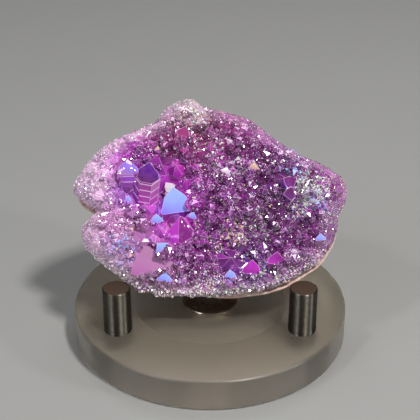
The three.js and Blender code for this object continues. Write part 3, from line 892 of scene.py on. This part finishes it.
def crust_body():
    """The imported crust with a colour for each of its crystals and, over that, for each named face."""
    mesh = merged_copy("crystal_crust", "crust_body")
    fan_facets(mesh, merge_flat=True)
    facet, crystal = facets_and_crystals(mesh)
    middles = stone_axes(np.array([face.center[:] for face in mesh.polygons]))
    places = stone_axes(corners(mesh))
    edge = Edge(places)
    rng = np.random.default_rng(5)
    count = len(mesh.polygons)

    def middle_of(group):
        sums = np.stack([np.bincount(group, middles[:, k], count) for k in range(3)], axis=1)
        return sums[group] / np.bincount(group, minlength=count)[group][:, None]

    centre = middle_of(crystal)
    upper = zone_colours(centre, edge.share(centre))
    upper = upper * spread_between(rng, count, *CRYSTAL_SHADES)[crystal][:, None]
    upper = upper * spread_between(rng, count, *FACET_SHADES)[facet][:, None]
    lower = upper * spread_between(rng, count, *LOWER_SHADES)[facet][:, None]
    lower = lower * (1 - LOWER_VIOLET) + np.array(VIOLET) * LOWER_VIOLET

    named = np.zeros(count, bool)
    tinted = np.zeros(count, bool)
    tree = BVHTree.FromPolygons([v.co for v in mesh.vertices], [f.vertices[:] for f in mesh.polygons])
    look = Vector(-W_AXIS)
    for u, v, above, below in FACE_TINTS:
        _, _, index, _ = tree.ray_cast(point_of(u, v, 30.0), look)
        if index is not None:
            upper[facet == facet[index]] = above
            lower[facet == facet[index]] = below
            tinted |= facet == facet[index]
            named |= crystal == crystal[index]
    thin_lines(mesh, ~named)
    ground = crystal == np.bincount(crystal).argmax()
    pick = np.where(ground, spread_between(rng, count, GROUND_DRUSE, 1), rng.random(count)[crystal])
    middle = np.where(ground[:, None], middles, centre)
    clean = named.copy()
    for u, v, radius, part in CLEAN_PLACES:
        clean |= (np.hypot(middle[:, 0] - u, middle[:, 1] - v) < radius) & (pick < part)
    normals = np.array([face.normal[:] for face in mesh.polygons])
    seat = normals @ W_AXIS < SEAT_SIDE
    overgrown = named & ~tinted & (normals @ V_AXIS < UNDERSIDE) & (normals @ W_AXIS < FRONT_SIDE)
    share = edge.share(middles)
    clean &= named | (share < CLEAN_REACH)
    bearing = (~clean | overgrown) & ~seat
    for name, marked in (("bears_druse", bearing), ("bears_crystals", bearing & (share < CRYSTAL_REACH))):
        mesh.attributes.new(name, "BOOLEAN", "FACE").data.foreach_set("value", marked)
    lower_rim = np.clip((LOWER_RIM - places[:, 1]) / LOWER_RIM_WIDTH, 0, 1)
    near_edge = np.clip((edge.share(places) - FINE_START) / FINE_WIDTH, 0, 1)
    near_edge *= 1 - COARSER_AT_LOWER_RIM * lower_rim
    in_lobe = np.clip((LOBE - places[:, 0]) / LOBE_WIDTH, 0, 1)
    coarse = 1 - FINER_AT_EDGE * near_edge - FINER_IN_LOBE * in_lobe * (1 - near_edge)
    mesh.attributes.new("druse_size", "FLOAT", "POINT").data.foreach_set("value", coarse)

    shade_facets(mesh, facet, upper, lower)
    return new_object("crust_body", mesh), edge


def druse_tree():
    """Small crystals, each a six-sided shaft with a six-sided tip, grown out of the faces marked for them."""
    tree = bpy.data.node_groups.new("druse", "GeometryNodeTree")
    face = tree.interface
    face.new_socket(name="Geometry", in_out="INPUT", socket_type="NodeSocketGeometry")
    for name in ("Density", "Least radius", "Most radius", "Lean"):
        face.new_socket(name=name, in_out="INPUT", socket_type="NodeSocketFloat")
    for name in ("Bearing faces", "Size by place"):
        face.new_socket(name=name, in_out="INPUT", socket_type="NodeSocketString")
    face.new_socket(name="Seed", in_out="INPUT", socket_type="NodeSocketInt")
    face.new_socket(name="Material", in_out="INPUT", socket_type="NodeSocketMaterial")
    face.new_socket(name="Geometry", in_out="OUTPUT", socket_type="NodeSocketGeometry")
    given = tree.nodes.new("NodeGroupInput").outputs
    made = tree.nodes.new("NodeGroupOutput")

    def add(kind, inputs=None, **settings):
        return add_node(tree, kind, inputs, **settings)

    # One crystal, one millimetre in radius at scale 1: its tip ring closes to a point a little off its axis
    shaft = add(
        "GeometryNodeMeshCylinder", {"Vertices": 6, "Side Segments": 2, "Radius": 1.0, "Depth": 2.0}
    )
    height = add("ShaderNodeSeparateXYZ", {0: add("GeometryNodeInputPosition").outputs[0]}).outputs["Z"]
    top = add("FunctionNodeCompare", {0: height, 1: 0.5}, data_type="FLOAT", operation="GREATER_THAN")
    tip = add("ShaderNodeCombineXYZ", {"X": 0.16, "Y": -0.07, "Z": 1.15})
    pointed = add(
        "GeometryNodeSetPosition",
        {"Geometry": shaft.outputs["Mesh"], "Selection": top.outputs[0], "Position": tip.outputs[0]},
    )
    raised = add("GeometryNodeSetPosition", {"Geometry": pointed.outputs[0], "Offset": (0.0, 0.0, 0.35)})
    crystal = add("GeometryNodeMergeByDistance", {"Geometry": raised.outputs[0], "Distance": 0.001})

    marked = add("GeometryNodeInputNamedAttribute", {"Name": given["Bearing faces"]}, data_type="BOOLEAN")
    sown = add(
        "GeometryNodeDistributePointsOnFaces",
        {
            "Mesh": given["Geometry"],
            "Selection": enabled_output(marked, "Attribute"),
            "Density": given["Density"],
            "Seed": given["Seed"],
        },
        distribute_method="RANDOM",
    )
    leaning = add("ShaderNodeMath", {0: given["Lean"], 1: -1.0}, operation="MULTIPLY").outputs[0]
    least = add("ShaderNodeCombineXYZ", {"X": leaning, "Y": leaning, "Z": 0.0})
    most = add("ShaderNodeCombineXYZ", {"X": given["Lean"], "Y": given["Lean"], "Z": 2 * math.pi})
    turn = add(
        "FunctionNodeRandomValue",
        {"Min": least.outputs[0], "Max": most.outputs[0], "Seed": given["Seed"]},
        data_type="FLOAT_VECTOR",
    )
    turned_by = add("FunctionNodeEulerToRotation", {0: turn.outputs["Value"]})
    rotation = add(
        "FunctionNodeRotateRotation",
        {"Rotation": sown.outputs["Rotation"], "Rotate By": turned_by.outputs[0]},
        rotation_space="LOCAL",
    )
    radius = add(
        "FunctionNodeRandomValue",
        {"Min": given["Least radius"], "Max": given["Most radius"], "Seed": given["Seed"]},
        data_type="FLOAT",
    )
    by_place = add("GeometryNodeInputNamedAttribute", {"Name": given["Size by place"]}, data_type="FLOAT")
    # A random value node has an output for each kind of value, and only the float one is wanted here
    size = add(
        "ShaderNodeMath",
        {0: enabled_output(radius), 1: enabled_output(by_place, "Attribute")},
        operation="MULTIPLY",
    )
    grown = add(
        "GeometryNodeInstanceOnPoints",
        {
            "Points": sown.outputs["Points"],
            "Instance": crystal.outputs[0],
            "Rotation": rotation.outputs[0],
            "Scale": size.outputs[0],
        },
    )
    real = add("GeometryNodeRealizeInstances", {"Geometry": grown.outputs[0]})
    coated = add("GeometryNodeSetMaterial", {"Geometry": real.outputs[0], "Material": given["Material"]})
    tree.links.new(coated.outputs[0], made.inputs[0])
    return tree


def enabled_output(node, name="Value"):
    return next(o for o in node.outputs if o.enabled and o.name == name)


def input_key(tree, name):
    """The identifier of a node tree's named input, by which a modifier knows it."""
    return next(
        item.identifier
        for item in tree.interface.items_tree
        if item.item_type == "SOCKET" and item.in_out == "INPUT" and item.name == name
    )


CRYSTAL_CORNERS = 13  # of one small crystal


def druse_layer(name, ground, edge, tree, material):
    """One layer of small crystals on the crust, each with a colour of its own, and painted glints and shade.
    """
    layer = LAYERS[name]
    obj = new_object(name, ground.data.copy())
    obj.data.materials.append(material)
    modifier = obj.modifiers.new("druse", "NODES")
    modifier.node_group = tree
    spread = layer["radius"] * layer["spread"]
    for socket, value in (
        ("Density", layer["per_mm2"] / MM**2),
        ("Least radius", (layer["radius"] - spread) * MM),
        ("Most radius", (layer["radius"] + spread) * MM),
        ("Lean", math.radians(layer["lean"])),
        ("Seed", layer["seed"]),
        ("Bearing faces", "bears_crystals" if name == COARSEST else "bears_druse"),
        ("Size by place", "druse_size"),
        ("Material", material),
    ):
        modifier[input_key(tree, socket)] = value
    baked(obj)
    mesh = obj.data
    points = stone_axes(corners(mesh))
    middles = points.reshape(-1, CRYSTAL_CORNERS, 3).mean(axis=1)
    rng = np.random.default_rng(layer["seed"])
    share = edge.share(middles)
    sparkle = patches(middles)
    pale = np.clip((PALE_LEFT - middles[:, :1]) / PALE_LEFT_WIDTH, 0, 1)
    least = SMALL_LEAST + (SMALL_LEAST_PALE - SMALL_LEAST) * pale
    colours = zone_colours(middles, share) * spread_between(rng, (len(middles), 1), least, SMALL_MOST)
    # Painted highlight: patches that sparkle are painted brighter
    brightness = DULL_PATCH + BY_SPARKLE * sparkle[:, None] + BY_PALENESS * pale
    colours *= np.clip(brightness, 0, BRIGHTEST_PATCH)
    faces = len(mesh.polygons) // len(middles)
    by_face = np.repeat(colours, faces, axis=0)
    by_face *= spread_between(rng, (len(by_face), 1), *SMALL_FACE_SHADES)
    shares = layer["glint_and_shade_share"] * np.repeat(sparkle, faces)
    by_face = paint_glints_and_shade(by_face, np.repeat(middles, faces, axis=0), edge, rng, shares)
    keep_only(mesh)
    if name == COARSEST:
        fan_facets(mesh, line=SMALL_LINE)
        facet = facet_numbers(mesh)
        upper = by_face[facet]
        lower = upper * SMALL_LOWER + np.array(VIOLET) * SMALL_LOWER_VIOLET
        shade_facets(mesh, facet, upper, lower)
    else:
        set_corners(mesh, "tint", per_corner(mesh, by_face))
    keep_only(mesh, "tint", "inward", "rise")
    return obj


# The matrix

# How often each kind of relief comes, per millimetre, and how high it is in millimetres
KNOBS_OFTEN, KNOBS_HIGH = 0.33, 0.5
PITS_OFTEN, PITS_DEEP = 0.55, 1.5
GRIT_OFTEN, GRIT_HIGH = 1.9, 0.09
KNOB_SHAPE = (0.9, 2.0, 4)  # falloff, step between sizes, and number of sizes
PIT_START = 0.28  # a pit starts where its noise is over this
PIT_PLACE = Vector((7.0, 3.0, 1.0))  # keeps the pits' noise apart from the knobs'
SEAT_LIFT = 0.3  # how far the seat under the crust rises to meet it
CALM_AT_RIM = 0.2  # share of the relief that is left beside the crust
RELIEF_START, RELIEF_WIDTH = 1.0, 6.0  # behind the crust, where the relief comes in, and over how much


def matrix():
    """The rock behind the crust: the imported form, rounded, with its own small knobs and pits."""
    obj = new_object("matrix_rock", merged_copy("matrix", "matrix_rock"))
    smooth = obj.modifiers.new("rounding", "SUBSURF")
    smooth.levels = smooth.render_levels = 3
    baked(obj)
    mesh = obj.data
    points = corners(mesh)
    face_side = stone_axes(points)
    normals = stored(mesh.vertices, "normal", 3)
    behind = np.clip((-face_side[:, 2] - RELIEF_START) / RELIEF_WIDTH, 0, 1)
    outward = np.clip(1 - 2.2 * np.clip(normals @ W_AXIS, 0, 1), 0, 1)
    seat = np.clip(normals @ W_AXIS * 1.6, 0, 1)
    points += np.outer(seat, W_AXIS) * SEAT_LIFT * MM
    for k, point in enumerate(points):
        place = Vector(point) / MM
        knobs = noise.fractal(place * KNOBS_OFTEN, *KNOB_SHAPE)
        pits = max(0.0, noise.noise(place * PITS_OFTEN + PIT_PLACE) - PIT_START)
        grit = noise.noise(place * GRIT_OFTEN)
        rise = KNOBS_HIGH * knobs - PITS_DEEP * pits + GRIT_HIGH * grit
        calm = CALM_AT_RIM + (1 - CALM_AT_RIM) * behind[k]
        points[k] += normals[k] * MM * rise * outward[k] * calm
    mesh.vertices.foreach_set("co", points.ravel())
    mesh.update()
    mesh.shade_smooth()
    return obj


# The stand


def disc():
    """The disc, turned and polished: its edges are eased, and a shallow ring is cut in its top."""
    r, t, ease, mark = DISC_RADIUS, DISC_THICKNESS, DISC_EASE, RING_MARK_RADIUS
    profile = [(0, 0), (r - 6, 0)]
    profile += rounded((r - ease, 0), (r, 0), (r, ease))
    profile += rounded((r, t - ease), (r, t), (r - ease, t))
    profile += [(r - 4, t), (mark + RING_MARK_HALF_WIDTH, t)]
    profile += [(mark, t - RING_MARK_DEPTH), (mark - RING_MARK_HALF_WIDTH, t)]
    profile += [(HUB_RADIUS + 0.6, t), (0, t)]
    return turned("disc_acrylic", profile, 256)


def pin(name, node):
    """A dowel pin: an eased top rim, fine lathe marks and a ragged band where it enters the disc."""
    low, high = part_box(node)
    centre = ((low.x + high.x) / 2 / MM, (low.y + high.y) / 2 / MM)
    rng = np.random.default_rng(len(name))
    r = PIN_RADIUS - METAL_INSET
    band_height, band_spread, band_depth = RAGGED_BAND
    profile = [(0, PIN_FOOT), (r - 0.3, PIN_FOOT)]
    height = PIN_FOOT + 0.3
    while height < PIN_TOP - 0.6:
        above = height - DISC_THICKNESS
        ragged = band_depth * math.exp(-((above - band_height) / band_spread) ** 2)
        profile.append((r - 0.03 - LATHE_MARK * rng.random() + ragged * rng.random(), height))
        height += 0.12 + 0.1 * rng.random()
    profile += [(r - 0.02, PIN_TOP - 0.45)]
    profile += rounded((r - 0.02, PIN_TOP - 0.3), (r - 0.04, PIN_TOP - 0.02), (r - 0.36, PIN_TOP), 4)
    profile += [(r - 1.2, PIN_TOP), (0, PIN_TOP)]
    return turned(name, profile, 72, centre, 50)


def hub():
    """The hub: a proud rounded rim, a slightly dished top and a dark bore."""
    r, top, bore = HUB_RADIUS - METAL_INSET, HUB_TOP, HUB_BORE_RADIUS
    bottom = DISC_THICKNESS - HUB_DEPTH
    profile = [(0, bottom), (r, bottom), (r, top - 0.4)]
    profile += rounded((r, top - 0.35), (r, top), (r - 0.4, top), 5)
    profile += [(r - 0.9, top - 0.05), (bore + 1.6, top - 0.1)]
    profile += rounded((bore + 0.5, top - 0.08), (bore, top - 0.08), (bore, top - 0.5), 5)
    profile += [(bore, top - HUB_BORE_DEPTH), (0, top - HUB_BORE_DEPTH - 0.1)]
    return turned("hub_nickel", profile, 128)


# Studio

# Lamps, as name, place and size in metres, watts and colour
LAMPS = [
    ("key", (0.22, -0.26, 0.6), 0.08, 5.0, (1.0, 0.98, 0.95)),
    ("left fill", (-0.45, -0.3, 0.35), 0.3, 0.9, (0.95, 0.97, 1.0)),
    ("top", (0.0, 0.25, 0.6), 0.3, 1.2, (1, 1, 1)),
    ("right glint", (0.44, -0.2, 0.18), 0.05, 0.9, (1, 1, 1)),
    ("low glint", (-0.35, -0.45, 0.1), 0.04, 0.5, (1, 1, 1)),
    ("left glint", (-0.3, -0.2, 0.45), 0.04, 0.5, (1, 1, 1)),
]
SMALL_LAMP = 0.1  # metres
SKY = (0.30, 0.31, 0.33, 1.0)
SKY_STRENGTH = 0.3

# The floor, in metres: its half width, its front, the wall that it sweeps up to, and how round the sweep is
FLOOR_HALF_WIDTH = 2.5
FLOOR_FRONT = -2.0
WALL = 0.9
WALL_TOP = 2.5
SWEEP = 0.5
SWEEP_STEPS = 16
FLOOR_DROP = 0.0002  # under the disc


def camera():
    data = bpy.data.cameras.new("camera")
    data.sensor_width = SENSOR_MM
    data.lens = SENSOR_MM * FOCAL_WIDTHS
    data.clip_start = 0.01
    data.clip_end = 20
    obj = new_object("camera", data)
    obj.location = Vector(CAMERA_PLACE) * MM
    obj.rotation_euler = (math.pi / 2 - CAMERA_PITCH, 0, 0)
    bpy.context.scene.camera = obj


def area_light(name, place, size, watts, colour):
    """A square soft light, placed in metres, that faces the stone. Small ones don't show through acrylic."""
    data = bpy.data.lights.new(name, "AREA")
    data.size = size
    data.energy = watts
    data.color = colour
    obj = new_object(name, data)
    obj.location = place
    obj.visible_transmission = size > SMALL_LAMP
    aim = Vector(STONE_CENTRE * MM) - Vector(place)
    obj.rotation_euler = aim.to_track_quat("-Z", "Y").to_euler()


def studio():
    """A pale floor that sweeps up behind the stone, and soft lights."""
    bm = bmesh.new()
    line = [(FLOOR_FRONT, 0.0), (WALL - SWEEP, 0.0)]
    for k in range(1, SWEEP_STEPS + 1):
        angle = math.pi / 2 * k / SWEEP_STEPS
        line.append((WALL - SWEEP + SWEEP * math.sin(angle), SWEEP - SWEEP * math.cos(angle)))
    line.append((WALL, WALL_TOP))
    sides = (-FLOOR_HALF_WIDTH, FLOOR_HALF_WIDTH)
    rows = [[bm.verts.new((x, y, z - FLOOR_DROP)) for x in sides] for y, z in line]
    for low, high in zip(rows, rows[1:]):
        bm.faces.new((low[0], low[1], high[1], high[0]))
    mesh = bpy.data.meshes.new("floor")
    bm.to_mesh(mesh)
    bm.free()
    mesh.shade_smooth()
    shader = Shader("pale floor")
    shader.set(Base_Color=(*FLOOR_GREY, 1.0), Roughness=0.85)
    mesh.materials.append(shader.material)
    new_object("floor", mesh)

    for lamp in LAMPS:
        area_light(*lamp)
    world = bpy.data.worlds.new("studio")
    world.use_nodes = True
    world.node_tree.nodes["Background"].inputs["Color"].default_value = SKY
    world.node_tree.nodes["Background"].inputs["Strength"].default_value = SKY_STRENGTH
    bpy.context.scene.world = world
    bpy.context.scene.view_settings.view_transform = "Standard"


# Assembly

camera()
studio()

body_quartz = coated_quartz("coated quartz", roughness=0.07, metallic=0.2, lined=True)
druse_quartz = coated_quartz("coated druse", roughness=0.05, metallic=0.2)
pin_steel = turned_steel(
    "turned steel", STEEL, roughness=0.35, marks=0.25, stretch=1.0, end_height=PIN_TOP
)
hub_nickel = turned_steel("nickel", NICKEL, roughness=0.12, marks=0.08, stretch=0.6)

crust, crust_edge = crust_body()
growth_tree = druse_tree()
for layer_name in LAYERS:
    quartz = body_quartz if layer_name == COARSEST else druse_quartz
    layer_obj = druse_layer(layer_name, crust, crust_edge, growth_tree, quartz)
    dress(layer_obj, quartz, "aura_quartz")
keep_only(crust.data, "tint", "inward", "rise")
dress(crust, body_quartz, "aura_quartz", "crystal_crust")
dress(matrix(), rock(), "rock", "matrix")
dress(disc(), frosted_acrylic(), "acrylic", "display_disc")
for pin_name in ("front_left_pin", "front_right_pin", "rear_pin"):
    dress(pin(pin_name + "_steel", pin_name), pin_steel, "pin_steel", pin_name)
dress(hub(), hub_nickel, "hub_nickel", "centre_hub")
